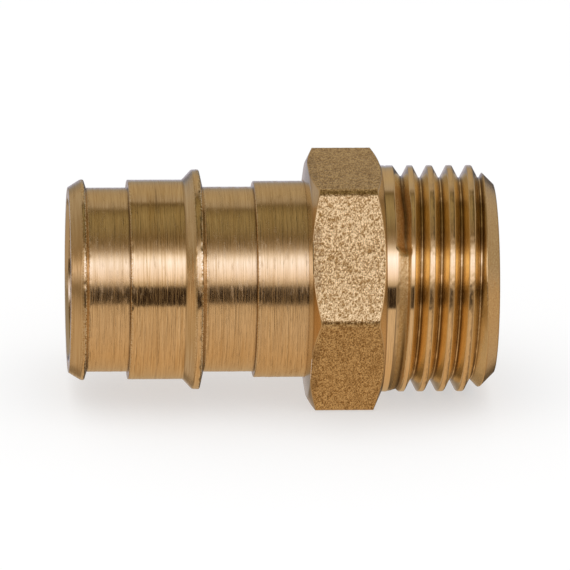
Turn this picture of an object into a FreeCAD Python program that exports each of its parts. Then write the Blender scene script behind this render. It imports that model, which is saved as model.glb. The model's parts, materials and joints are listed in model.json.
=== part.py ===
import FreeCAD, Part
import math
import os
import Sketcher

# A brass coupling, turned and forged in one piece. X runs along the waterway, from the pipe spigot
# at -X to the male thread at +X, and +Z is up with the hexagon lying on one of its flats. The origin
# is on the waterway's axis, where the hexagon's turned face meets the thread. Millimetres, degrees.

SIZES = {
    # hexagon in the middle
    "hex_across_flats": 21.5,
    "hex_corner_round": 1.0,
    "hex_length": 7.1,
    "spigot_side_draft": 0.28,
    "spigot_side_face": 1.84,
    "spigot_side_chamfer": 27.0,
    "thread_side_chamfer": 24.0,
    # spigot, from the hexagon out to the pipe end
    "inner_land_diameter": 18.04,
    "inner_land_length": 4.66,
    "inner_land_bevel": 0.22,
    "inner_groove_diameter": 17.0,
    "inner_groove_length": 4.54,
    "rib_diameter": 20.2,
    "rib_fall": 0.42,
    "rib_crest": 0.32,
    "rib_bevel_length": 0.24,
    "rib_bevel_drop": 0.16,
    "rib_rise": 0.8,
    "outer_land_diameter": 18.34,
    "outer_land_length": 5.0,
    "outer_groove_diameter": 16.92,
    "outer_groove_length": 3.78,
    "end_rib_diameter": 18.42,
    "end_rib_fall": 0.32,
    "end_rib_crest": 0.3,
    "lead_in_length": 1.02,
    "pipe_end_diameter": 17.04,
    # male thread, from the hexagon out to its end face
    "thread_diameter": 20.83,
    "thread_reach": 10.38,
    "thread_pitch": 1.814,
    "thread_depth": 1.13,
    "thread_angle": 55.0,
    "root_flat": 0.16,
    "last_root": 1.706,
    "last_root_turn": 56.0,
    "end_chamfer": 1.7,
    # waterway through the whole length
    "bore_diameter": 14.5,
    "mouth_chamfer": 0.3,
}

# Edges this close to a worked-out place are the ones meant.
SAME = 0.001

# How far the thread's cutting section stands out of the metal.
OVERCUT = 0.1

# The photographed thread climbs as a left-hand one does; a right-hand one is False.
LEFT_HAND_THREAD = True


def fill_sheet(doc):
    """One row a size: its name in column A, its value in column B under the same alias."""
    sheet = doc.addObject("Spreadsheet::Sheet", "Sizes")
    for row, (name, value) in enumerate(SIZES.items(), start=1):
        sheet.set(f"A{row}", name)
        sheet.set(f"B{row}", str(value))
        sheet.setAlias(f"B{row}", name)
    doc.recompute()
    return sheet


def size(name):
    return f"Sizes.{name}"


def radius(name):
    return f"{size(name)} / 2"


def tangent(name, share=1):
    """The tangent of a named angle, or of a share of it."""
    return f"tan({size(name)} * {share} * 1 deg)"


def outwards(*names):
    """A place on the spigot: named lengths laid end to end from the shoulder towards the pipe end."""
    return "-(" + " + ".join(size(name) for name in names) + ")"


def origin_feature(body, role):
    return next(feature for feature in body.Origin.OriginFeatures if feature.Role == role)


def plane_sketch(body, name, role):
    sketch = body.newObject("Sketcher::SketchObject", name)
    sketch.AttachmentSupport = [(origin_feature(body, role), "")]
    sketch.MapMode = "FlatFace"
    return sketch


def tie(sketch, line, kind, value, expression):
    """Holds a line's first point at an expression's distance from the sketch's origin. A plain 0
    puts the point on the sketch's own axis instead."""
    if expression == "0":
        axis = -2 if kind == "DistanceX" else -1
        sketch.addConstraint(Sketcher.Constraint("PointOnObject", line, 1, axis))
        return
    number = sketch.addConstraint(Sketcher.Constraint(kind, -1, 1, line, 1, value))
    sketch.setExpression(f"Constraints[{number}]", expression)


def draw_outline(sketch, points):
    """Straight lines through points, closed. Each point is a pair of expressions of the sheet."""
    sheet = sketch.Document.Sizes
    places = [[float(sheet.evalExpression(text)) for text in point] for point in points]
    following = places[1:] + places[:1]
    for start, end in zip(places, following):
        sketch.addGeometry(Part.LineSegment(FreeCAD.Vector(*start), FreeCAD.Vector(*end)), False)
    for line in range(len(points)):
        sketch.addConstraint(Sketcher.Constraint("Coincident", line, 2, (line + 1) % len(points), 1))
    for line, (point, place) in enumerate(zip(points, places)):
        tie(sketch, line, "DistanceX", place[0], point[0])
        tie(sketch, line, "DistanceY", place[1], point[1])


def revolved(body, kind, name, points):
    """An outline of (place along the axis, radius) turned about the waterway's axis."""
    sketch = plane_sketch(body, f"{name}_outline", "XZ_Plane")
    draw_outline(sketch, points)
    feature = body.newObject(kind, name)
    feature.Profile = sketch
    feature.ReferenceAxis = (sketch, ["H_Axis"])
    feature.Angle = 360
    body.Document.recompute()
    return feature


def rounded(body, name, test, size_name):
    """A fillet on the edges that a test picks out, its radius tied to a size."""
    base = body.Tip
    picked = [f"Edge{n}" for n, edge in enumerate(base.Shape.Edges, start=1) if test(edge)]
    fillet = body.newObject("PartDesign::Fillet", name)
    fillet.Base = (base, picked)
    fillet.setExpression("Radius", size(size_name))
    body.Document.recompute()


def turned_blank(body):
    """Spigot with its lands, grooves and ribs, and the plain cylinder that the thread is cut in."""
    to_land = ["hex_length"]
    to_groove = to_land + ["inner_land_length"]
    to_rib = to_groove + ["inner_groove_length"]
    to_rib_bevel = to_rib + ["rib_fall"]
    to_rib_crest = to_rib_bevel + ["rib_bevel_length"]
    to_rib_crest_end = to_rib_crest + ["rib_crest"]
    to_rib_flare = to_rib_crest_end + ["rib_bevel_length"]
    to_outer_land = to_rib_flare + ["rib_rise"]
    to_outer_groove = to_outer_land + ["outer_land_length"]
    to_end_rib = to_outer_groove + ["outer_groove_length"]
    to_end_crest = to_end_rib + ["end_rib_fall"]
    to_lead_in = to_end_crest + ["end_rib_crest"]
    to_pipe_end = to_lead_in + ["lead_in_length"]
    land = radius("inner_land_diameter")
    below_rib = f"{radius('rib_diameter')} - {size('rib_bevel_drop')}"
    thread_end = size("thread_reach")
    points = [
        (outwards(*to_pipe_end), "0"),
        (outwards(*to_pipe_end), radius("pipe_end_diameter")),
        (outwards(*to_lead_in), radius("end_rib_diameter")),
        (outwards(*to_end_crest), radius("end_rib_diameter")),
        (outwards(*to_end_rib), radius("outer_groove_diameter")),
        (outwards(*to_outer_groove), radius("outer_groove_diameter")),
        (outwards(*to_outer_groove), radius("outer_land_diameter")),
        (outwards(*to_outer_land), radius("outer_land_diameter")),
        (outwards(*to_rib_flare), below_rib),
        (outwards(*to_rib_crest_end), radius("rib_diameter")),
        (outwards(*to_rib_crest), radius("rib_diameter")),
        (outwards(*to_rib_bevel), below_rib),
        (outwards(*to_rib), radius("inner_groove_diameter")),
        (outwards(*to_groove), radius("inner_groove_diameter")),
        (outwards(*to_groove), f"{land} - {size('inner_land_bevel')}"),
        (f"{outwards(*to_groove)} + {size('inner_land_bevel')}", land),
        ("0", land),
        ("0", radius("thread_diameter")),
        (f"{thread_end} - {size('end_chamfer')}", radius("thread_diameter")),
        (thread_end, f"{radius('thread_diameter')} - {size('end_chamfer')}"),
        (thread_end, "0"),
    ]
    revolved(body, "PartDesign::Revolution", "turned_blank", points)
    return outwards(*to_pipe_end)


def hexagon(body):
    """A forged hexagon on one of its flats, its corners rounded and both faces turned conical."""
    sketch = plane_sketch(body, "hexagon_outline", "YZ_Plane")
    flat = f"{size('hex_across_flats')} / 2"
    corner = f"{size('hex_across_flats')} / sqrt(3)"
    beside = f"{corner} / 2"
    draw_outline(
        sketch,
        [
            (corner, "0"),
            (beside, flat),
            (f"-({beside})", flat),
            (f"-({corner})", "0"),
            (f"-({beside})", f"-({flat})"),
            (beside, f"-({flat})"),
        ],
    )
    prism = body.newObject("PartDesign::Pad", "hexagon")
    prism.Profile = sketch
    prism.Reversed = True
    prism.setExpression("Length", size("hex_length"))
    doc = body.Document
    doc.recompute()
    corner_reach = float(doc.Sizes.evalExpression(corner))

    def is_corner(edge):
        middle = edge.valueAt((edge.FirstParameter + edge.LastParameter) / 2)
        return abs(math.hypot(middle.y, middle.z) - corner_reach) < SAME

    rounded(body, "hexagon_corners", is_corner, "hex_corner_round")
    beyond = f"{corner} + {size('hex_corner_round')}"
    spigot_face = outwards("hex_length")
    chamfer_start = f"{spigot_face} + {size('spigot_side_draft')}"
    chamfer_reach = f"{radius('inner_land_diameter')} + {size('spigot_side_face')}"
    chamfer_end = (
        f"{chamfer_start} + ({beyond} - ({chamfer_reach})) * {tangent('spigot_side_chamfer')}"
    )
    revolved(
        body,
        "PartDesign::Groove",
        "spigot_side_face",
        [
            (spigot_face, radius("inner_land_diameter")),
            (chamfer_start, chamfer_reach),
            (chamfer_end, beyond),
            (spigot_face, beyond),
        ],
    )
    cone_end = f"-({beyond} - {radius('thread_diameter')}) * {tangent('thread_side_chamfer')}"
    revolved(
        body,
        "PartDesign::Groove",
        "thread_side_face",
        [("0", radius("thread_diameter")), (cone_end, beyond), ("0", beyond)],
    )


def waterway(body, pipe_end):
    """One straight bore, with a small chamfer at each mouth."""
    mouth = size("mouth_chamfer")
    wall = radius("bore_diameter")
    revolved(
        body,
        "PartDesign::Groove",
        "waterway",
        [
            (pipe_end, "0"),
            (pipe_end, f"{wall} + {mouth}"),
            (f"{pipe_end} + {mouth}", wall),
            (f"{size('thread_reach')} - {mouth}", wall),
            (size("thread_reach"), f"{wall} + {mouth}"),
            (size("thread_reach"), "0"),
        ],
    )


def thread_groove(body):
    """One V groove swept along a helix, from outside the end face to where the die stopped beside
    the collar. Its section stands in the upright plane, where the last root's place is given."""
    turns_to_end = (
        f"ceil(({size('thread_reach')} - {size('last_root')}) / {size('thread_pitch')} + 0.5)"
    )
    centre = f"{size('last_root')} + {turns_to_end} * {size('thread_pitch')}"
    root = f"{radius('thread_diameter')} - {size('thread_depth')}"
    above = f"{radius('thread_diameter')} + {OVERCUT}"
    half_root = f"{size('root_flat')} / 2"
    half_top = f"({half_root} + ({size('thread_depth')} + {OVERCUT}) * {tangent('thread_angle', 0.5)})"
    sketch = plane_sketch(body, "thread_section", "XZ_Plane")
    draw_outline(
        sketch,
        [
            (f"{centre} - {half_root}", root),
            (f"{centre} + {half_root}", root),
            (f"{centre} + {half_top}", above),
            (f"{centre} - {half_top}", above),
        ],
    )
    groove = body.newObject("PartDesign::SubtractiveHelix", "thread_groove")
    groove.Profile = sketch
    groove.ReferenceAxis = (sketch, ["H_Axis"])
    groove.Mode = "pitch-turns-angle"
    groove.setExpression("Pitch", size("thread_pitch"))
    groove.setExpression("Turns", f"{turns_to_end} + {size('last_root_turn')} / 360")
    groove.LeftHanded = LEFT_HAND_THREAD
    groove.Reversed = True
    body.Document.recompute()


def check(doc, bodies):
    """Stops on any failed feature and on a solid that is missing, broken or in pieces."""
    failed = [item.Name for item in doc.Objects if {"Invalid", "Error"} & set(item.State)]
    if failed:
        raise RuntimeError(f"failed features: {failed}")
    for body in bodies:
        shape = body.Shape
        if shape.isNull() or not shape.isValid() or len(shape.Solids) != 1:
            raise RuntimeError(f"{body.Label} is not one sound solid")


def build():
    doc = FreeCAD.newDocument("coupling")
    fill_sheet(doc)
    body = doc.addObject("PartDesign::Body", "coupling_body")
    pipe_end = turned_blank(body)
    hexagon(body)
    waterway(body, pipe_end)
    thread_groove(body)
    doc.recompute()
    check(doc, [body])
    return [body]


os.makedirs("parts", exist_ok=True)
for piece in build():
    piece.Shape.exportStep(f"parts/{piece.Label}.step")
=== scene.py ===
"""A brass coupling for plastic pipe, seen in a plain pale studio.

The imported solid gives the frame. Three skins stand for it: the turned spigot, the forged hexagon and
the threaded end. X runs along the waterway towards the thread, Z is up and -Y is the front. Around
the axis a place is an angle: 0 is the front, 90 is the top. Lengths are millimetres until a mesh is
made, and metres after that.
"""

import json
import math

import bpy
import numpy as np
from mathutils import Matrix, Vector


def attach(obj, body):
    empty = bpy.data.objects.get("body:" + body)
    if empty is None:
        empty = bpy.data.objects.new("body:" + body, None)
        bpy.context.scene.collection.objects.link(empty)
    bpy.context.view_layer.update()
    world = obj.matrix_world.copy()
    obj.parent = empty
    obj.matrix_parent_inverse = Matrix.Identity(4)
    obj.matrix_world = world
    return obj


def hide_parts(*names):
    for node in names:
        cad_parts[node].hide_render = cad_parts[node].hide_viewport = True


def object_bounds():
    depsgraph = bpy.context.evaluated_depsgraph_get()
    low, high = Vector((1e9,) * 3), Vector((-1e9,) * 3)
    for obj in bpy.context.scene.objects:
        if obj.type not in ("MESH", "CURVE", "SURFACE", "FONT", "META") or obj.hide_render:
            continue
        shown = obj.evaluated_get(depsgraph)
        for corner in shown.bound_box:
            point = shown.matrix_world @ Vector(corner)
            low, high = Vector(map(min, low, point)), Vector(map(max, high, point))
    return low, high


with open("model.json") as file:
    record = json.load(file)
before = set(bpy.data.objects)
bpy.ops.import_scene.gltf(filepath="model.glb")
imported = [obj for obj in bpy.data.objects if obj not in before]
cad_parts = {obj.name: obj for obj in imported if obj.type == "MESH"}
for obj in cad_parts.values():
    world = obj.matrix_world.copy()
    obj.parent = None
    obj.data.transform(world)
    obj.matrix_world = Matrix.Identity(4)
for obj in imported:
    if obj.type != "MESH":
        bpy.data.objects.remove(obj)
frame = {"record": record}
cad_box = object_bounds()

MM = 0.001
NODE = "coupling_body"
mounts = {mount["name"]: mount for mount in frame["record"]["mounts"]}

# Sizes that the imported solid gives
PIPE_END = cad_box[0].x / MM
THREAD_END = cad_box[1].x / MM
FLAT_REACH = cad_box[1].z / MM
BORE_RADIUS = mounts["waterway"]["dims"]["r_mm"]
THREAD_RADIUS = mounts["male_thread"]["dims"]["r_mm"]
LAND_RADIUS = mounts["pipe_seat"]["dims"]["r_mm"]

# Where the three skins meet, out of sight inside the hexagon
SEAM = -0.5

# Hexagon
HEX_END = -7.1
HEX_CORNER_ROUND = 1.0
HEX_INNER = 8.0
FACE_REACH = 10.86
FACE_DRAFT = 0.28
SPIGOT_SIDE_SLOPE = math.tan(math.radians(27))
THREAD_SIDE_SLOPE = math.tan(math.radians(24))
FRONT_FLAT = 30.0
GRAIN_HEIGHT = 0.022
GRAIN_SINK = 1.2

# Spigot: radii, then places counted from the thread's shoulder
INNER_LAND = 9.02
GROOVE = 8.5
OUTER_GROOVE = 8.46
RIB = 10.1
END_RIB = 9.21
PIPE_END_RADIUS = 8.52
INNER_LAND_END = -11.76
RIB_FOOT = -16.38
RIB_FALL = 0.37
RIB_CREST = 0.63
RIB_RISE = 0.87
LAND_END = -23.3
END_RIB_FOOT = -27.08
END_RIB_FALL = 0.25
END_RIB_CREST = 0.3
MOUTH = 0.3
SCRATCH = -20.85
RING_HEIGHT = 0.0028
RAGGED_HEIGHT = 0.06
WORN_WIDTH = 0.17
FOOT_SHADE_WIDTH = 0.11

# Thread
PITCH = 1.814
THREAD_DEPTH = 1.13
FLANK = math.tan(math.radians(27.5))
HALF_ROOT = 0.08
LAST_ROOT = 1.706
LAST_ROOT_AT = 90.0
GROOVE_STOP = 34.0
TAIL_DEPTH = 0.27
TAIL_SHIFT = 0.2
LAST_TURN_SHIFT = 0.1
CREST_ROUNDING = 0.02
TORN_HEIGHT = 0.03
END_CHAMFER = 1.7
SEAM_REACH = 9.0
BOTTOM = 270.0

# Stretches of the thread's helix over which a thing sets in or dies away, in degrees along it.
# They are counted from the front in the last turn, beside the collar, and each turn nearer to the
# end adds 360.
SHALLOWER = (40, 75)
SHOULDER_WIDER = (50, 78)
STOP_MOVED = (52, 74)
LAST_TURN = (60, 200)
LAST_TURN_MOVED = (120, 200)
STOP_TORN = (66, 90)
STOP_DARKENED = (70, 100)
TAIL_DARKENED = (-30, 20)
FLANK_OPENED = (1330, 1410)
FLANK_DARKENED = (1390, 1430)
FLANK_CLOSED = (1415, 1465)
END_DARKENED = (1490, 1530)

# Mesh fineness. A ring this close beside a corner keeps the smooth shading level beyond it.
SPIGOT_ROWS = 320
THREAD_ROWS = 420
HEX_ROWS = 900
TURNING_STEP = 0.12
BORE_STEP = 1.5
CORNER_RING = 0.05


def smooth(low, high, value):
    """0 below low, 1 above high, and an S-shaped curve between them."""
    t = np.clip((value - low) / (high - low), 0.0, 1.0)
    return t * t * (3.0 - 2.0 * t)


def fading(low, high, value):
    """1 below low, 0 above high: smooth the other way up."""
    return 1 - smooth(low, high, value)


def bell(distance, width):
    """1 at no distance, falling off smoothly over the width."""
    return np.exp(-((distance / width) ** 2))


def ring_noise(count, reach, seed):
    """One number a ring: random numbers smoothed over a few neighbours, of about plus or minus one."""
    draw = np.random.default_rng(seed).normal(size=count + 2 * reach)
    window = np.hanning(2 * reach + 3)[1:-1]
    smoothed = np.convolve(draw, window / np.sqrt((window**2).sum()), mode="valid")
    return smoothed[:count]


def lattice_noise(points, cell, seed):
    """Value noise: random numbers on a cubic lattice, blended smoothly inside each cell."""
    size = 64
    values = np.random.default_rng(seed).uniform(-1, 1, (size, size, size))
    place = points / cell
    base = np.floor(place).astype(int)
    t = place - base
    t = t * t * (3 - 2 * t)
    total = np.zeros(points.shape[:-1])
    for corner in np.ndindex(2, 2, 2):
        weight = np.prod(np.where(np.array(corner) == 1, t, 1 - t), axis=-1)
        total += weight * values[tuple(((base + corner) % size)[..., axis] for axis in range(3))]
    return total


def outline(corners, step, hidden_step):
    """Runs between corners, in pieces no longer than step, each corner eased by a parabola that
    leaves and joins the runs at the corner's own ease length. Runs in the bore or inside the hexagon
    have longer pieces. Gives places, radii, and how far along the outline each corner lies from
    each point."""
    places = np.array([corner[:2] for corner in corners], float)
    eases = np.array([corner[2] for corner in corners], float)
    steps = np.diff(places, axis=0)
    along = steps / np.hypot(steps[:, 0], steps[:, 1])[:, None]
    found = []
    middles = []
    for number, place in enumerate(places):
        inner = 0 < number < len(places) - 1
        before = place - along[number - 1] * eases[number] if inner else place
        after = place + along[number] * eases[number] if inner else place
        made = sum(len(piece) for piece in found)
        if inner and eases[number] > 0:
            t = np.linspace(0, 1, 5)[:, None]
            found.append((1 - t) ** 2 * before + 2 * t * (1 - t) * place + t**2 * after)
            middles.append(made + 2)
        else:
            found.append(place[None])
            middles.append(made)
        if number < len(places) - 1:
            next_ease = eases[number + 1] if number + 2 < len(places) else 0.0
            ahead = places[number + 1] - along[number] * next_ease
            run = ahead - after
            in_bore = max(after[1], ahead[1]) < BORE_RADIUS + 0.1
            in_hexagon = min(after[0], ahead[0]) > HEX_END - 0.1
            longest = hidden_step if in_bore or in_hexagon else step
            count = max(int(np.ceil(np.hypot(*run) / longest)), 1)
            found.append(after + run * (np.arange(1, count) / count)[:, None])
    points = np.concatenate(found)
    lengths = np.hypot(*np.diff(points, axis=0, prepend=points[:1]).T)
    travelled = np.cumsum(lengths)
    away = np.abs(travelled[:, None] - travelled[middles][None, :])
    return points[:, 0], points[:, 1], away


def around(x, r, angle):
    """Points at place x along the axis, radius r and angle round it."""
    turn = np.radians(angle)
    return np.stack([x + 0 * turn, -r * np.cos(turn), r * np.sin(turn)], axis=-1)


def mesh_object(name, points, faces, material, **marks):
    """A smooth-shaded object from points in millimetres and faces, with one number a point for each
    mark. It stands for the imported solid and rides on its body."""
    mesh = bpy.data.meshes.new(name)
    mesh.from_pydata((points * MM).tolist(), [], faces.tolist())
    for label, values in marks.items():
        attribute = mesh.attributes.new(label, "FLOAT", "POINT")
        attribute.data.foreach_set("value", values.astype(np.float32).ravel())
    mesh.validate()
    mesh.shade_smooth()
    mesh.materials.append(material)
    thing = bpy.data.objects.new(name, mesh)
    bpy.context.scene.collection.objects.link(thing)
    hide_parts(NODE)
    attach(thing, "root")
    return thing


def torus_faces(rings, rows):
    """Four-cornered faces of a grid that closes on itself both ways. The grid's first way runs
    along the outline, and its second way round the axis."""
    ring, row = np.meshgrid(np.arange(rings), np.arange(rows), indexing="ij")
    next_ring = (ring + 1) % rings
    next_row = (row + 1) % rows
    corners = [
        ring * rows + row,
        next_ring * rows + row,
        next_ring * rows + next_row,
        ring * rows + next_row,
    ]
    return np.stack([corner.ravel() for corner in corners], axis=1)


# Shader nodes


def add(tree, kind, wired=None, **settings):
    """One node with its settings. Wired gives each input, by name or number, a value or a socket."""
    node = tree.nodes.new(kind)
    for name, value in settings.items():
        setattr(node, name, value)
    for key, value in (wired or {}).items():
        socket = node.inputs[key]
        if isinstance(value, bpy.types.NodeSocket):
            tree.links.new(value, socket)
        else:
            socket.default_value = value
    return node


def math_of(tree, operation, *values):
    """The result of one arithmetic node."""
    node = add(tree, "ShaderNodeMath", dict(enumerate(values)), operation=operation)
    return node.outputs[0]


def times(tree, first, second):
    """The product of two values."""
    return math_of(tree, "MULTIPLY", first, second)


def plus(tree, first, second):
    """The sum of two values."""
    return math_of(tree, "ADD", first, second)


def remap(tree, value, low, high, new_low, new_high):
    """A value's stretch from low to high carried to another stretch, and held at its ends."""
    wired = {0: value, 1: low, 2: high, 3: new_low, 4: new_high}
    return add(tree, "ShaderNodeMapRange", wired).outputs[0]


def mark(tree, name):
    """One of the mesh's own numbers."""
    return add(tree, "ShaderNodeAttribute", attribute_name=name).outputs["Fac"]


def new_group(name, inputs, outputs):
    """An empty shader group with named inputs, which are numbers, and named outputs."""
    tree = bpy.data.node_groups.new(name, "ShaderNodeTree")
    for label, default in inputs.items():
        socket = tree.interface.new_socket(label, in_out="INPUT", socket_type="NodeSocketFloat")
        socket.default_value = default
    for label, kind in outputs.items():
        tree.interface.new_socket(label, in_out="OUTPUT", socket_type=kind)
    return tree, tree.nodes.new("NodeGroupInput"), tree.nodes.new("NodeGroupOutput")


def turning_lines():
    """Lines round the axis, as a lathe tool leaves them: noise that changes fast along X and slowly
    round it. Line is fine, Band is broad, both about 0 to 1."""
    tree, given, made = new_group(
        "turning_lines",
        {"Width": 0.12, "Length": 3.0},
        {"Line": "NodeSocketFloat", "Band": "NodeSocketFloat"},
    )
    place = add(tree, "ShaderNodeTexCoord").outputs["Object"]
    axes = add(tree, "ShaderNodeSeparateXYZ", {0: place})
    for label, wider in (("Line", 1.0), ("Band", 6.0)):
        width = times(tree, given.outputs["Width"], MM * wider)
        length = times(tree, given.outputs["Length"], MM * wider**0.5)
        scaled = add(
            tree,
            "ShaderNodeCombineXYZ",
            {
                0: math_of(tree, "DIVIDE", axes.outputs[0], width),
                1: math_of(tree, "DIVIDE", axes.outputs[1], length),
                2: math_of(tree, "DIVIDE", axes.outputs[2], length),
            },
        )
        noise = add(
            tree,
            "ShaderNodeTexNoise",
            {"Vector": scaled.outputs[0], "Scale": 1.0, "Detail": 2.0, "Roughness": 0.6},
        )
        spread = remap(tree, noise.outputs[0], 0.28, 0.72, 0.0, 1.0)
        tree.links.new(spread, made.inputs[label])
    return tree


def speckle():
    """Grain that is the same in all directions: Fine and Coarse noise, both about 0 to 1."""
    tree, given, made = new_group(
        "speckle",
        {"Size": 0.2},
        {"Fine": "NodeSocketFloat", "Coarse": "NodeSocketFloat"},
    )
    place = add(tree, "ShaderNodeTexCoord").outputs["Object"]
    for label, wider in (("Fine", 1.0), ("Coarse", 9.0)):
        size = times(tree, given.outputs["Size"], MM * wider)
        scale = math_of(tree, "DIVIDE", 1.0, size)
        noise = add(
            tree,
            "ShaderNodeTexNoise",
            {"Vector": place, "Scale": scale, "Detail": 3.0, "Roughness": 0.55},
        )
        spread = remap(tree, noise.outputs[0], 0.3, 0.7, 0.0, 1.0)
        tree.links.new(spread, made.inputs[label])
    return tree


def blend(tree, share, first, second):
    """A colour between two, by a share from 0 to 1."""
    wired = {"Factor": share, "A": first, "B": second}
    node = tree.nodes.new("ShaderNodeMix")
    node.data_type = "RGBA"
    for socket in node.inputs:
        if socket.enabled and socket.name in wired:
            value = wired[socket.name]
            if isinstance(value, bpy.types.NodeSocket):
                tree.links.new(value, socket)
            else:
                socket.default_value = value
    return next(socket for socket in node.outputs if socket.enabled)


def grouped(tree, group, **values):
    """A group's node with its own values, and the node's outputs."""
    node = add(tree, "ShaderNodeGroup", node_tree=group)
    for name, value in values.items():
        node.inputs[name].default_value = value
    return node.outputs


def brass(name, anisotropy):
    """A metallic Principled surface, with its tree and its shader node."""
    material = bpy.data.materials.new(name)
    material.use_nodes = True
    tree = material.node_tree
    shader = tree.nodes["Principled BSDF"]
    shader.inputs["Metallic"].default_value = 1.0
    shader.inputs["Anisotropic"].default_value = anisotropy
    if anisotropy:
        tangent = add(tree, "ShaderNodeTangent", direction_type="RADIAL", axis="X")
        tree.links.new(tangent.outputs[0], shader.inputs["Tangent"])
    return material, tree, shader


def finish(tree, shader, colour, roughness, height, distance):
    """Wires colour, roughness and one bump. Its distance is what a height of 1 is in metres."""
    tree.links.new(colour, shader.inputs["Base Color"])
    tree.links.new(roughness, shader.inputs["Roughness"])
    bump = add(tree, "ShaderNodeBump", {"Height": height, "Distance": distance, "Strength": 1.0})
    tree.links.new(bump.outputs[0], shader.inputs["Normal"])


def waterway(tree, colour):
    """The colour inside the waterway: paler near its mouth as painted light, and browner further in as
    painted shade. The mesh's inside number is a half near a mouth and one further in."""
    lit_near_mouth = (0.72, 0.58, 0.40, 1)
    shaded_far_in = (0.52, 0.34, 0.15, 1)
    inside = mark(tree, "inside")
    # Painted light near the mouth, and painted shade further in
    colour = blend(tree, remap(tree, inside, 0.0, 0.4, 0.0, 1.0), colour, lit_near_mouth)
    return blend(tree, remap(tree, inside, 0.5, 1.0, 0.0, 1.0), colour, shaded_far_in)


def turned_brass(groups):
    """Bright brass off the lathe: fine rings in its height, its colour and its gloss. It is duller on
    the ribs' slopes and has painted shade in the steps' feet, and a worn edge is broken into dark
    nicks and painted glints."""
    furrow = (0.67, 0.45, 0.21, 1)
    ridge = (0.98, 0.75, 0.46, 1)
    broad_band = (0.80, 0.60, 0.36, 1)
    dark_hair = (0.46, 0.29, 0.13, 1)
    dull_slope = (0.82, 0.61, 0.37, 1)
    dirt = (0.15, 0.07, 0.018, 1)
    nick = (0.34, 0.20, 0.07, 1)
    painted_glint = (1.0, 0.90, 0.70, 1)
    material, tree, shader = brass("turned_brass", 0.4)
    lines = grouped(tree, groups["turning_lines"], Width=0.11, Length=5.0)
    hairs = grouped(tree, groups["turning_lines"], Width=0.24, Length=1.3)["Line"]
    spots = grouped(tree, groups["speckle"], Size=0.12)["Fine"]
    line = lines["Line"]
    dull = mark(tree, "dull")
    worn = mark(tree, "worn")
    colour = blend(tree, line, furrow, ridge)
    colour = blend(tree, remap(tree, lines["Band"], 0.35, 1.0, 0.0, 0.6), colour, broad_band)
    colour = blend(tree, remap(tree, hairs, 0.78, 1.0, 0.0, 0.12), colour, dark_hair)
    colour = blend(tree, times(tree, dull, 0.7), colour, dull_slope)
    # Painted shade darkens the steps' feet, and the scratch on the land is drawn dark
    dirty = times(tree, mark(tree, "grime"), remap(tree, spots, 0.1, 0.7, 0.7, 1.0))
    colour = blend(tree, dirty, colour, dirt)
    nicked = times(tree, worn, remap(tree, spots, 0.25, 0.42, 1.0, 0.0))
    colour = blend(tree, nicked, colour, nick)
    # Painted highlights: bright glints along worn edges
    glint_share = times(tree, worn, remap(tree, spots, 0.5, 0.65, 0.0, 1.0))
    colour = blend(tree, glint_share, colour, painted_glint)
    colour = waterway(tree, colour)
    rough = remap(tree, line, 0.0, 1.0, 0.15, 0.05)
    rough = plus(tree, rough, remap(tree, hairs, 0.55, 1.0, 0.0, 0.16))
    rough = plus(tree, rough, times(tree, dull, 0.16))
    height = plus(tree, line, times(tree, hairs, 0.8))
    finish(tree, shader, colour, rough, height, 0.000006)
    return material


def thread_brass(groups):
    """The same brass where a die cut the thread: bright on crests and collar, with an oily film down
    the flanks, painted shade beside the root with a painted highlight line in it, ragged and golden
    where the metal tore, and darkened by dirt and by painted shade."""
    furrow = (0.90, 0.67, 0.41, 1)
    ridge = (0.97, 0.75, 0.46, 1)
    film_on_left = (0.98, 0.785, 0.47, 1)
    film_on_right = (0.95, 0.755, 0.45, 1)
    thick_film = (0.86, 0.67, 0.38, 1)
    painted_shade_beside_root = (0.30, 0.17, 0.045, 1)
    painted_root_highlight = (0.95, 0.70, 0.41, 1)
    torn_pit = (0.66, 0.38, 0.13, 1)
    torn_peak = (1.0, 0.75, 0.39, 1)
    dirt = (0.18, 0.10, 0.03, 1)
    material, tree, shader = brass("thread_brass", 0.0)
    line = grouped(tree, groups["turning_lines"], Width=0.09, Length=3.0)["Line"]
    spots = grouped(tree, groups["speckle"], Size=0.14)
    flank = remap(tree, mark(tree, "depth"), 0.02, 0.14, 0.0, 1.0)
    side = mark(tree, "side")
    torn = mark(tree, "torn")
    film = blend(tree, remap(tree, side, -0.3, 0.3, 0.0, 1.0), film_on_left, film_on_right)
    film = blend(tree, remap(tree, spots["Coarse"], 0.3, 1.0, 0.0, 0.6), film, thick_film)
    colour = blend(tree, line, furrow, ridge)
    colour = blend(tree, flank, colour, film)
    reach = math_of(tree, "ABSOLUTE", side)
    # Painted shade beside each root, and a painted highlight along the root itself
    shade_beside = times(tree, flank, remap(tree, reach, 0.11, 0.21, 0.9, 0.0))
    colour = blend(tree, shade_beside, colour, painted_shade_beside_root)
    root = times(tree, flank, remap(tree, reach, 0.04, 0.07, 1.0, 0.0))
    root = times(tree, root, remap(tree, spots["Coarse"], 0.2, 0.6, 1.0, 0.3))
    colour = blend(tree, root, colour, painted_root_highlight)
    ragged = blend(tree, spots["Fine"], torn_pit, torn_peak)
    share = math_of(tree, "POWER", times(tree, torn, 1.5), 2.0)
    colour = blend(tree, share, colour, ragged)
    # Darkened by dirt and by painted shade in the thread's hollows and along its underside
    dirty = times(tree, mark(tree, "grime"), remap(tree, spots["Fine"], 0.1, 0.6, 0.7, 1.0))
    colour = blend(tree, dirty, colour, dirt)
    colour = waterway(tree, colour)
    rough = remap(tree, line, 0.0, 1.0, 0.13, 0.05)
    rough = plus(tree, rough, times(tree, flank, 0.1))
    rough = plus(tree, rough, times(tree, torn, 0.3))
    finish(tree, shader, colour, rough, line, 0.000003)
    return material


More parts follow.
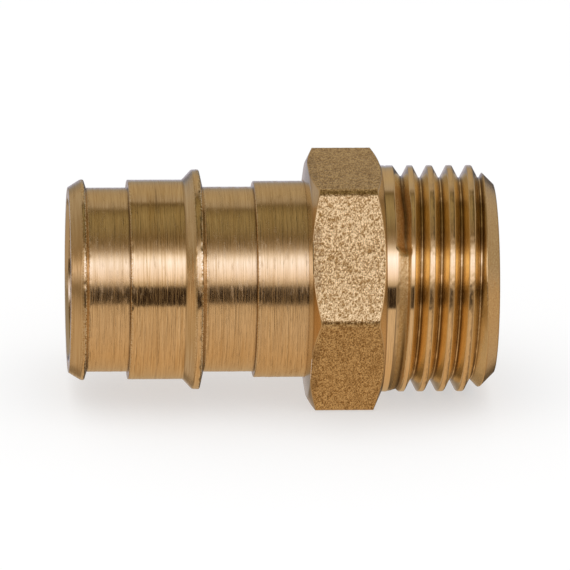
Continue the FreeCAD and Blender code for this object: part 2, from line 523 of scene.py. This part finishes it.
def forged_brass(groups):
    """Raw forged brass, its pits painted dark as painted shade and its peaks pale as painted
    highlights, with a fine grain on top of the mesh's own. The turned sides carry the tool's rings
    instead, and the face beside the spigot is the palest."""
    shaded_pit = (0.33, 0.175, 0.045, 1)
    lit_peak = (1.0, 0.76, 0.42, 1)
    stain = (0.70, 0.46, 0.20, 1)
    furrow = (0.74, 0.51, 0.25, 1)
    ridge = (0.88, 0.65, 0.37, 1)
    pale_face = (1.0, 0.87, 0.66, 1)
    dirt = (0.13, 0.065, 0.025, 1)
    material, tree, shader = brass("forged_brass", 0.0)
    grain = grouped(tree, groups["turning_lines"], Width=0.085, Length=0.15)["Line"]
    stains = grouped(tree, groups["speckle"], Size=0.09)["Coarse"]
    line = grouped(tree, groups["turning_lines"], Width=0.2, Length=3.0)["Line"]
    skin = mark(tree, "skin")
    swell = times(tree, mark(tree, "grain"), 0.7)
    bumps = plus(tree, swell, remap(tree, grain, 0.0, 1.0, -0.7, 0.7))
    # Pits painted dark and peaks pale: painted shade and painted highlights over the grain
    colour = blend(tree, remap(tree, bumps, -0.4, 0.35, 0.0, 1.0), shaded_pit, lit_peak)
    colour = blend(tree, times(tree, stains, 0.12), colour, stain)
    turned = blend(tree, line, furrow, ridge)
    turned = blend(tree, mark(tree, "face"), turned, pale_face)
    colour = blend(tree, skin, turned, colour)
    # Darkened at the face's rim and with painted shade in the crease beside the collar
    colour = blend(tree, mark(tree, "grime"), colour, dirt)
    rough = remap(tree, skin, 0.0, 1.0, 0.2, 0.22)
    height = times(tree, mark(tree, "strength"), grain)
    finish(tree, shader, colour, rough, height, 0.00002)
    return material


# The turned spigot


def spigot(material):
    """The spigot's outline turned round the axis: each ring of the outline is one closed circle.
    Every ring lies a few microns above or below the last, as a tool leaves them. A corner's last
    number says how torn an outer edge is, or below 0 how much painted shade darkens a foot."""
    rib_bevel = RIB_FOOT - RIB_FALL
    rib_crest = rib_bevel - RIB_CREST
    end_crest = END_RIB_FOOT - END_RIB_FALL
    corners = [
        (SEAM, BORE_RADIUS, 0, 0),
        (SEAM - CORNER_RING, BORE_RADIUS, 0, 0),
        (PIPE_END + MOUTH, BORE_RADIUS, 0.04, 0),
        (PIPE_END, BORE_RADIUS + MOUTH, 0.04, 0),
        (PIPE_END, PIPE_END_RADIUS, 0.05, 0.3),
        (end_crest - END_RIB_CREST, END_RIB, 0.16, 0.35),
        (end_crest, END_RIB, 0.12, 1.0),
        (END_RIB_FOOT, OUTER_GROOVE, 0.05, 0.3),
        (LAND_END, OUTER_GROOVE, 0.06, -0.9),
        (LAND_END, LAND_RADIUS, 0.09, 0.6),
        (rib_crest - RIB_RISE, LAND_RADIUS, 0.09, -0.3),
        (rib_crest, RIB, 0.16, 0.35),
        (rib_bevel, RIB, 0.13, 1.0),
        (RIB_FOOT, GROOVE, 0.06, 0.3),
        (INNER_LAND_END, GROOVE, 0.06, -0.9),
        (INNER_LAND_END, INNER_LAND, 0.16, 0.4),
        (HEX_END, INNER_LAND, 0, -0.3),
        (SEAM, INNER_LAND, 0, 0),
    ]
    x, r, away = outline(corners, TURNING_STEP, BORE_STEP)
    wear = np.array([corner[3] for corner in corners])
    worn = (np.maximum(wear, 0) * bell(away, WORN_WIDTH)).max(axis=1)
    # Painted shade in the steps' feet: the corners whose last number is below 0
    grime = (np.maximum(-wear, 0) * bell(away, FOOT_SHADE_WIDTH)).max(axis=1)
    shown = (r > BORE_RADIUS + MOUTH) & (x < HEX_END + 0.3)
    slope = np.abs(np.gradient(r)) / (np.hypot(np.gradient(r), np.gradient(x)) + 1e-9)
    in_groove = (x > RIB_FOOT) | ((x > END_RIB_FOOT) & (x < LAND_END))
    dull = np.maximum(0.3 * smooth(0.3, 0.5, slope), 0.35 * in_groove) * shown
    inner = r < BORE_RADIUS + MOUTH + 0.02
    inside = inner * (0.5 + 0.5 * smooth(4.0, 7.0, x - PIPE_END))
    r = r + np.where(shown, RING_HEIGHT, 0.0) * ring_noise(len(x), 1, 5)

    angle = np.arange(SPIGOT_ROWS) * (360.0 / SPIGOT_ROWS)
    points = around(x[:, None], r[:, None], angle[None, :])
    ragged = lattice_noise(points, 0.26, 21) + 0.5 * lattice_noise(points, 0.8, 22)
    r = r[:, None] + RAGGED_HEIGHT * worn[:, None] * np.minimum(ragged, 0.25)
    points = around(x[:, None], r, angle[None, :])
    patchy = smooth(-0.7, 0.2, lattice_noise(points, 1.6, 23))
    broken = smooth(-0.4, 0.3, lattice_noise(points, 2.5, 24))
    scratched = bell(x - SCRATCH, 0.05)[:, None] * broken
    grime = np.maximum(grime[:, None] * (0.55 + 0.45 * patchy), 0.6 * scratched)
    return mesh_object(
        "turned_spigot",
        points.reshape(-1, 3),
        torus_faces(len(x), SPIGOT_ROWS),
        material,
        worn=worn[:, None] + 0 * r,
        grime=grime,
        dull=dull[:, None] + 0 * r,
        inside=inside[:, None] + 0 * r,
    )


# The forged hexagon


def hexagon(material):
    """A hexagon's outline with round corners, cut by one cone at each side. Each corner of its
    section has a place, a radius and how many pieces lead to the next. The flats carry the grain as
    real depth: pits of a fine noise, longer round the axis than along it, over a coarser swell. It
    is strongest on the front flat, and sunk, so that no peak stands out of the solid."""
    t = np.arange(HEX_ROWS) / HEX_ROWS * 6
    side = np.floor(t)
    across = (t - side - 0.5) * 2 * FLAT_REACH * math.tan(math.radians(30))
    tilt = np.degrees(np.arctan2(across, FLAT_REACH))
    angle = side * 60 + 30 + tilt
    centre_reach = (FLAT_REACH - HEX_CORNER_ROUND) / math.cos(math.radians(30))
    from_corner = np.radians(30 - np.abs(tilt))
    chord = np.sqrt(np.maximum(HEX_CORNER_ROUND**2 - (centre_reach * np.sin(from_corner)) ** 2, 0))
    rounded = centre_reach * np.cos(from_corner) + chord
    tangent_at = (FLAT_REACH - HEX_CORNER_ROUND) * math.tan(math.radians(30))
    flat = np.hypot(across, FLAT_REACH)
    reach = np.where(np.abs(across) > tangent_at, np.minimum(flat, rounded), flat)
    left = HEX_END + FACE_DRAFT + np.maximum(reach - FACE_REACH, 0) * SPIGOT_SIDE_SLOPE
    right = -(reach - THREAD_RADIUS) * THREAD_SIDE_SLOPE
    corners = [
        (SEAM, HEX_INNER, 2),
        (HEX_END + 1, HEX_INNER, 1),
        (HEX_END, INNER_LAND, 8),
        (HEX_END + FACE_DRAFT, np.minimum(FACE_REACH, reach), 8),
        (left, reach, 76),
        (right, reach, 6),
        (0.0, THREAD_RADIUS, 2),
    ]
    places = []
    radii = []
    for (x0, r0, count), (x1, r1, _) in zip(corners, corners[1:] + corners[:1]):
        share = np.linspace(0, 1, count + 1)[:-1, None]
        places.append(x0 + (x1 - x0) * share + 0 * reach)
        radii.append(r0 + (r1 - r0) * share + 0 * reach)
    x = np.concatenate(places)
    r = np.concatenate(radii)
    points = around(x, r, angle[None, :])
    fine = lattice_noise(points * (1.5, 1, 1), 0.16, 11)
    coarse = lattice_noise(points, 0.4, 12)
    grain = 0.95 * fine + 0.25 * coarse
    on_flat = smooth(0.0, 0.1, x - left) * smooth(0.0, 0.1, right - x)
    on_flat = on_flat * (np.abs(r - reach) < 1e-6)
    front = bell((angle - FRONT_FLAT + 180.0) % 360.0 - 180.0, 45.0)
    strength = on_flat * (0.45 + 0.55 * front)
    sunk = GRAIN_HEIGHT * strength * (grain - GRAIN_SINK)
    points = around(x, r + sunk, angle[None, :])
    by_spigot = (x < HEX_END + FACE_DRAFT + 0.001) * (r > INNER_LAND)
    thread_side = x > right + 0.001
    face = by_spigot + 0.5 * thread_side * (r > THREAD_RADIUS)
    # Darker along the face's rim, and painted shade in the crease beside the collar
    edge_of_face = bell(r - FACE_REACH - 0.1, 0.2) * (x < HEX_END + 1)
    shade_beside_collar = bell(r - THREAD_RADIUS, 0.4) * thread_side
    return mesh_object(
        "forged_hexagon",
        points.reshape(-1, 3),
        torus_faces(len(x), HEX_ROWS),
        material,
        grain=grain * strength,
        strength=strength,
        skin=on_flat,
        face=face,
        grime=np.maximum(0.3 * edge_of_face, 0.45 * shade_beside_collar),
    )


# The threaded end


def thread_columns():
    """Places across one pitch as shares of it, from one root's middle to just before the next,
    closer together at the edges of root and crest."""
    root = HALF_ROOT / PITCH
    crest = (HALF_ROOT + THREAD_DEPTH * FLANK) / PITCH
    edge = 0.03 / PITCH
    half = np.concatenate(
        [
            [0.0, root - edge / 2, root + edge],
            np.linspace(root + edge, crest - edge, 9)[1:],
            [crest + edge / 2, crest + 2 * edge],
            np.linspace(crest + 2 * edge, 0.5, 4)[1:],
        ]
    )
    return np.concatenate([half, 1 - half[-2:0:-1]])


def end_cone(x):
    """The end chamfer's radius: it falls by as much as the place moves on."""
    return THREAD_RADIUS - END_CHAMFER + (THREAD_END - x)


def thread_surface(x, angle):
    """The V groove's radius from the distance to the nearest root, under the cylinder and the end
    chamfer. Its last turn moves a little towards the thread, grows shallow and has a wider shoulder
    side, and past its stop only a shallow tail goes on. Near the end chamfer one flank is opened.
    The crests beyond the first are rounded by a parabola. Gives the radius, the signed distance
    from the root, how torn the metal is, and how much it is darkened by dirt and by painted shade. In
    the tail that distance is drawn outwards, so that the painted shade beside the root stays narrow
    there."""
    first_root = LAST_ROOT + (angle - LAST_ROOT_AT) / 360 * PITCH
    turns = np.round((x - first_root - 0.1) / PITCH)
    helix = angle + 360 * turns
    tail = fading(GROOVE_STOP - 3, GROOVE_STOP + 3, helix)
    last = fading(*LAST_TURN, helix)
    opened = 2.6 * (smooth(*FLANK_OPENED, helix) - smooth(*FLANK_CLOSED, helix))
    shift = LAST_TURN_SHIFT * fading(*LAST_TURN_MOVED, helix)
    shift = shift + TAIL_SHIFT * (1 + 0.9 * tail) * fading(*STOP_MOVED, helix)
    side = x - first_root - turns * PITCH - shift

    # Shape
    widen_left = 1 + 0.45 * last + 0.65 * fading(*SHOULDER_WIDER, helix) + 4.6 * tail**3
    widen_right = 1 + 0.95 * tail + opened
    rise = np.maximum(np.abs(side) - HALF_ROOT * (1 - 0.7 * tail), 0)
    rise = rise / (FLANK * np.where(side < 0, widen_left, widen_right))
    deep = THREAD_DEPTH - 0.2 * last - 0.15 * fading(*SHALLOWER, helix)
    faded = TAIL_DEPTH * smooth(GROOVE_STOP - 330, GROOVE_STOP - 150, helix)
    depth = deep + (faded - deep) * tail
    cone = end_cone(x)
    half_crest = PITCH / 2 - HALF_ROOT - THREAD_DEPTH * FLANK
    from_crest = np.clip(np.abs(PITCH / 2 - np.abs(side)) / half_crest, 0, 1)
    crest = THREAD_RADIUS - CREST_ROUNDING * smooth(1.8, 4.5, x) * from_crest**2
    r = np.minimum(np.minimum(THREAD_RADIUS - depth + rise, crest), cone)

    # Wear
    cut = smooth(0.03, 0.1, np.minimum(THREAD_RADIUS, cone) - r)
    torn_stop = fading(*STOP_TORN, helix) * (1 - 0.4 * tail)
    torn_flank = 0.3 * np.minimum(opened, 1) * (side > 0)
    worn_crest = np.where(cone < THREAD_RADIUS, 0.5, 0.35 * smooth(1.8, 3.6, x))
    torn = np.maximum(cut * np.maximum(torn_stop, torn_flank), worn_crest * (1 - cut))

    # Painted shade along the last root and along the underside; darker in the tail, at the stop and on
    # the opened flank
    stopping = smooth(GROOVE_STOP - 2, GROOVE_STOP + 12, helix) * fading(*STOP_DARKENED, helix)
    on_opened = smooth(*FLANK_DARKENED, helix) * smooth(0.06, 0.1, side)
    opened_darkening = 0.2 + 0.3 * bell(side - 0.15, 0.12) + 0.4 * smooth(*END_DARKENED, helix)
    grime = bell(side + 0.1, 0.22) * fading(*TAIL_DARKENED, helix)
    grime = grime + stopping * (0.1 + 0.5 * bell(side, 0.16))
    grime = grime + 0.6 * bell(side, 0.13) * last * (1 - tail)
    # Painted shade along the underside of the thread
    grime = grime + 0.8 * bell(angle - BOTTOM, 22)
    grime = grime + on_opened * opened_darkening
    edge = 0.4 * smooth(THREAD_END - 0.16, THREAD_END - 0.04, x)
    return r, side + 0.3 * tail * np.sign(side), torn, np.clip(cut * grime + edge, 0, 1)


def threaded_end(material):
    """A grid sheared along the helix, so that its columns follow roots and crests. Row 0 stands at
    the groove's stop, and one turn later the columns have moved on by one pitch. Torn metal is
    raised and sunk by noise, but never above the blank. Plain rings close the end and the bore."""
    shares = thread_columns()
    per_pitch = len(shares)
    turns_below = 3
    turns_above = 7
    column = np.arange(-turns_below * per_pitch, turns_above * per_pitch)
    place = (column // per_pitch + shares[column % per_pitch]) * PITCH
    angle = GROOVE_STOP + np.arange(THREAD_ROWS) * (360.0 / THREAD_ROWS)
    start = LAST_ROOT + (angle - LAST_ROOT_AT) / 360 * PITCH
    x = np.clip(start[:, None] + place[None, :], SEAM, THREAD_END)
    r, side, torn, grime = thread_surface(x, angle[:, None])
    grid = around(x, r, angle[:, None])
    ragged = lattice_noise(grid, 0.3, 31) + 0.6 * lattice_noise(grid, 0.14, 32)
    low = (x > SEAM).argmax(axis=1) - 1
    high = (x >= THREAD_END).argmax(axis=1)
    rows = np.arange(THREAD_ROWS)
    columns = len(column)
    blank = np.minimum(THREAD_RADIUS, end_cone(x))
    depth = blank - r
    r = np.minimum(r + TORN_HEIGHT * torn * ragged, np.maximum(blank, r))
    grid = around(x, r, angle[:, None]).reshape(-1, 3)

    def index(row, number):
        """The point at a row and a column. Past the last row it is in the first one, a pitch on."""
        turned = row >= THREAD_ROWS
        row = np.where(turned, row - THREAD_ROWS, row)
        number = np.where(turned, number + per_pitch, number)
        return row * columns + np.clip(number, low[row], high[row])

    row, number = np.meshgrid(rows, np.arange(columns - per_pitch - 1), indexing="ij")
    a = index(row, number)
    b = index(row, number + 1)
    c = index(row + 1, number + 1)
    d = index(row + 1, number)
    first = np.stack([a, b, c], -1).reshape(-1, 3)
    second = np.stack([a, c, d], -1).reshape(-1, 3)

    mouth = THREAD_RADIUS - END_CHAMFER
    end_rings = [
        (THREAD_END, mouth - 0.1),
        (THREAD_END, BORE_RADIUS + MOUTH),
        (THREAD_END - MOUTH, BORE_RADIUS),
        (THREAD_END - MOUTH - CORNER_RING, BORE_RADIUS),
        (6.0, BORE_RADIUS),
        (SEAM + CORNER_RING, BORE_RADIUS),
        (SEAM, BORE_RADIUS),
        (SEAM, SEAM_REACH),
    ]
    rings = [around(np.full(THREAD_ROWS, place), radius, angle) for place, radius in end_rings]
    points = np.concatenate([grid] + rings)
    base = len(grid)
    loops = [rows * columns + high[rows]]
    loops += [base + number * THREAD_ROWS + rows for number in range(len(end_rings))]
    loops += [rows * columns + low[rows]]
    parts = [first, second]
    for here, there in zip(loops, loops[1:]):
        here_on = np.roll(here, -1)
        there_on = np.roll(there, -1)
        parts.append(np.stack([here, there, there_on], -1))
        parts.append(np.stack([here, there_on, here_on], -1))
    faces = np.concatenate(parts)
    whole = (faces != np.roll(faces, -1, axis=1)).all(axis=1)
    faces = faces[whole]
    used, places = np.unique(faces, return_inverse=True)
    plain = np.zeros(len(points) - base)
    marks = {"depth": depth, "side": side, "torn": torn, "grime": grime}
    marks = {name: np.concatenate([values.ravel(), plain])[used] for name, values in marks.items()}
    inner = np.hypot(points[used, 1], points[used, 2]) < BORE_RADIUS + MOUTH - 0.02
    marks["inside"] = inner * (0.5 + 0.5 * smooth(2.0, 4.5, THREAD_END - points[used, 0]))
    return mesh_object("threaded_end", points[used], places.reshape(-1, 3), material, **marks)


# Studio

# What the metal sees at each angle over the front horizon, in the plane across the axis
SURROUNDINGS = {
    -180: (0.37, 0.39, 0.46),
    -168: (0.54, 0.55, 0.70),
    -158: (0.50, 0.46, 0.46),
    -145: (0.48, 0.36, 0.22),
    -90: (0.61, 0.43, 0.26),
    -40: (0.65, 0.50, 0.36),
    -12: (0.65, 0.51, 0.37),
    -10: (0.02, 0.012, 0.008),
    10.5: (0.025, 0.016, 0.01),
    12.5: (0.49, 0.40, 0.30),
    16: (0.65, 0.55, 0.46),
    20: (0.92, 0.81, 0.78),
    24: (1.04, 0.96, 1.02),
    32: (1.17, 1.16, 1.38),
    40: (1.25, 1.32, 1.69),
    46: (1.12, 1.10, 1.22),
    50: (0.74, 0.67, 0.64),
    56: (0.41, 0.334, 0.254),
    64: (0.27, 0.205, 0.125),
    70: (0.225, 0.168, 0.093),
    84: (0.30, 0.246, 0.139),
    100: (0.33, 0.27, 0.147),
    113: (0.24, 0.19, 0.10),
    116: (0.15, 0.11, 0.055),
    119: (0.22, 0.17, 0.10),
    123: (0.41, 0.355, 0.287),
    140: (0.456, 0.38, 0.26),
    160: (0.43, 0.35, 0.24),
    174: (0.34, 0.31, 0.26),
    180: (0.37, 0.39, 0.46),
}
BRIGHTEST = 2.0

# The same towards either end of the axis, and how much of it there is at each X of the direction
SIDES = {
    -180: (0.42, 0.38, 0.34),
    -100: (0.50, 0.39, 0.27),
    -50: (0.52, 0.40, 0.27),
    -8: (0.29, 0.22, 0.14),
    12: (0.29, 0.22, 0.14),
    26: (0.46, 0.36, 0.24),
    38: (0.80, 0.62, 0.44),
    48: (0.62, 0.49, 0.34),
    66: (0.31, 0.23, 0.145),
    112: (0.35, 0.29, 0.21),
    150: (0.42, 0.37, 0.30),
    180: (0.42, 0.38, 0.34),
}
SIDEWAYS = {-0.5: 0.85, -0.32: 0, 0.4: 0, 0.68: 0.85}

# Where light comes back out of the thread's grooves: how dark it is at each height, and how much
# of that darkness there is at each X of the direction
GROOVE_SHADE = {
    -180: 0.85,
    -135: 0.8,
    -100: 0.65,
    -50: 0.57,
    -14: 0.57,
    -8: 0,
    50: 0,
    62: 0.67,
    116: 0.65,
    126: 0.25,
}
SHADED = {-0.42: 0.05, -0.34: 0.6, -0.2: 0.6, -0.1: 0, 0.1: 0, 0.18: 1, 0.4: 1, 0.6: 0.2}

# The dark strip on the horizon is paler there: how much of that at each height, and its colour
STRIP = {-14: 0, -10: 1, 10: 1, 14: 0}
STRIP_IN_GROOVE = (0.27, 0.20, 0.13)


def ramp(tree, value, low, high, stops):
    """A colour ramp over a value from low to high, from stops of value and colour, each colour a
    share of the brightest. A plain number stands for a grey."""
    node = add(tree, "ShaderNodeValToRGB", {0: remap(tree, value, low, high, 0.0, 1.0)})
    elements = node.color_ramp.elements
    while len(elements) < len(stops):
        elements.new(1.0)
    for element, (place, colour) in zip(elements, stops.items()):
        element.position = (place - low) / (high - low)
        if isinstance(colour, tuple):
            element.color = (*(part / BRIGHTEST for part in colour), 1)
        else:
            element.color = (colour, colour, colour, 1)
    return node.outputs[0]


def surroundings():
    """A plain pale room for the camera and the floor, and for gloss the room that metal sees."""
    world = bpy.data.worlds.new("studio")
    bpy.context.scene.world = world
    world.use_nodes = True
    world.cycles.sampling_method = "NONE"
    tree = world.node_tree
    tree.nodes.clear()
    direction = add(tree, "ShaderNodeTexCoord").outputs["Generated"]
    axes = add(tree, "ShaderNodeSeparateXYZ", {0: direction})
    front = times(tree, axes.outputs[1], -1.0)
    turn = math_of(tree, "DEGREES", math_of(tree, "ARCTAN2", axes.outputs[2], front))
    across = axes.outputs[0]
    seen = ramp(tree, turn, -180, 180, SURROUNDINGS)
    shaded = ramp(tree, across, -1, 1, SHADED)
    strip = times(tree, shaded, ramp(tree, turn, -180, 180, STRIP))
    seen = blend(tree, strip, seen, (*(part / BRIGHTEST for part in STRIP_IN_GROOVE), 1))
    shade = times(tree, shaded, ramp(tree, turn, -180, 180, GROOVE_SHADE))
    seen = blend(tree, shade, seen, (0, 0, 0, 1))
    sides = ramp(tree, turn, -180, 180, SIDES)
    seen = blend(tree, ramp(tree, across, -1, 1, SIDEWAYS), seen, sides)
    path = add(tree, "ShaderNodeLightPath")
    for_metal = add(tree, "ShaderNodeBackground", {"Color": seen, "Strength": BRIGHTEST})
    for_rest = add(tree, "ShaderNodeBackground", {"Color": (1, 1, 1, 1), "Strength": 0.85})
    for_camera = add(tree, "ShaderNodeBackground", {"Color": (1, 1, 1, 1), "Strength": 1.0})
    first = add(
        tree,
        "ShaderNodeMixShader",
        {0: path.outputs["Is Glossy Ray"], 1: for_rest.outputs[0], 2: for_metal.outputs[0]},
    )
    last = add(
        tree,
        "ShaderNodeMixShader",
        {0: path.outputs["Is Camera Ray"], 1: first.outputs[0], 2: for_camera.outputs[0]},
    )
    add(tree, "ShaderNodeOutputWorld", {0: last.outputs[0]})


def floor():
    """A wide pale table under the hexagon's flat. It keeps the part's soft shadow."""
    half = 2000.0
    corners = [(-half, -half), (half, -half), (half, half), (-half, half)]
    points = np.array([(*corner, -FLAT_REACH) for corner in corners])
    mesh = bpy.data.meshes.new("table")
    mesh.from_pydata((points * MM).tolist(), [], [(0, 1, 2, 3)])
    table = bpy.data.objects.new("table", mesh)
    bpy.context.scene.collection.objects.link(table)
    table.visible_glossy = False
    material = bpy.data.materials.new("table_top")
    material.use_nodes = True
    tree = material.node_tree
    tree.nodes.clear()
    lit = add(tree, "ShaderNodeEmission", {"Color": (1, 1, 1, 1), "Strength": 1.0})
    plain = add(tree, "ShaderNodeBsdfDiffuse", {"Color": (0.95, 0.95, 0.95, 1)})
    path = add(tree, "ShaderNodeLightPath")
    share = times(tree, path.outputs["Is Camera Ray"], 0.55)
    both = add(tree, "ShaderNodeMixShader", {0: share, 1: plain.outputs[0], 2: lit.outputs[0]})
    add(tree, "ShaderNodeOutputMaterial", {0: both.outputs[0]})
    mesh.materials.append(material)


def lamp():
    """One soft square lamp high over the table, which only the table shows."""
    light = bpy.data.lights.new("softbox", "AREA")
    light.shape = "SQUARE"
    light.size = 0.5
    light.energy = 0.9
    thing = bpy.data.objects.new("softbox", light)
    thing.location = (-0.05, -0.1, 0.5)
    thing.rotation_euler = (Vector((0, 0, 0)) - thing.location).to_track_quat("-Z", "Y").to_euler()
    thing.visible_glossy = False
    bpy.context.scene.collection.objects.link(thing)


# Camera: turns and roll in degrees, distance in millimetres, scale in pixels a millimetre
AZIMUTH = -3.6
ELEVATION = 20.0
ROLL = 0.98
DISTANCE = 850.0
SCALE = 10.87
AIM = (-8.75, 0.0, -0.6)
SENSOR = 36.0
PICTURE = 570


def camera():
    """A long lens that looks at the aim from the photograph's side."""
    turn = math.radians(AZIMUTH)
    rise = math.radians(ELEVATION)
    back = Vector((math.sin(turn) * math.cos(rise), -math.cos(turn) * math.cos(rise), math.sin(rise)))
    data = bpy.data.cameras.new("camera")
    data.sensor_width = SENSOR
    data.lens = SCALE * DISTANCE / PICTURE * SENSOR
    data.clip_start = 0.01
    data.clip_end = 20
    thing = bpy.data.objects.new("camera", data)
    facing = (-back).to_track_quat("-Z", "Y").to_matrix().to_4x4()
    roll = Matrix.Rotation(math.radians(ROLL), 4, "Z")
    place = Matrix.Translation(Vector(AIM) * MM + back * DISTANCE * MM)
    thing.matrix_world = place @ facing @ roll
    bpy.context.scene.collection.objects.link(thing)
    bpy.context.scene.camera = thing


camera()
surroundings()
floor()
lamp()
groups = {"turning_lines": turning_lines(), "speckle": speckle()}
spigot(turned_brass(groups))
hexagon(forged_brass(groups))
threaded_end(thread_brass(groups))

bpy.context.scene.view_settings.view_transform = "Standard"
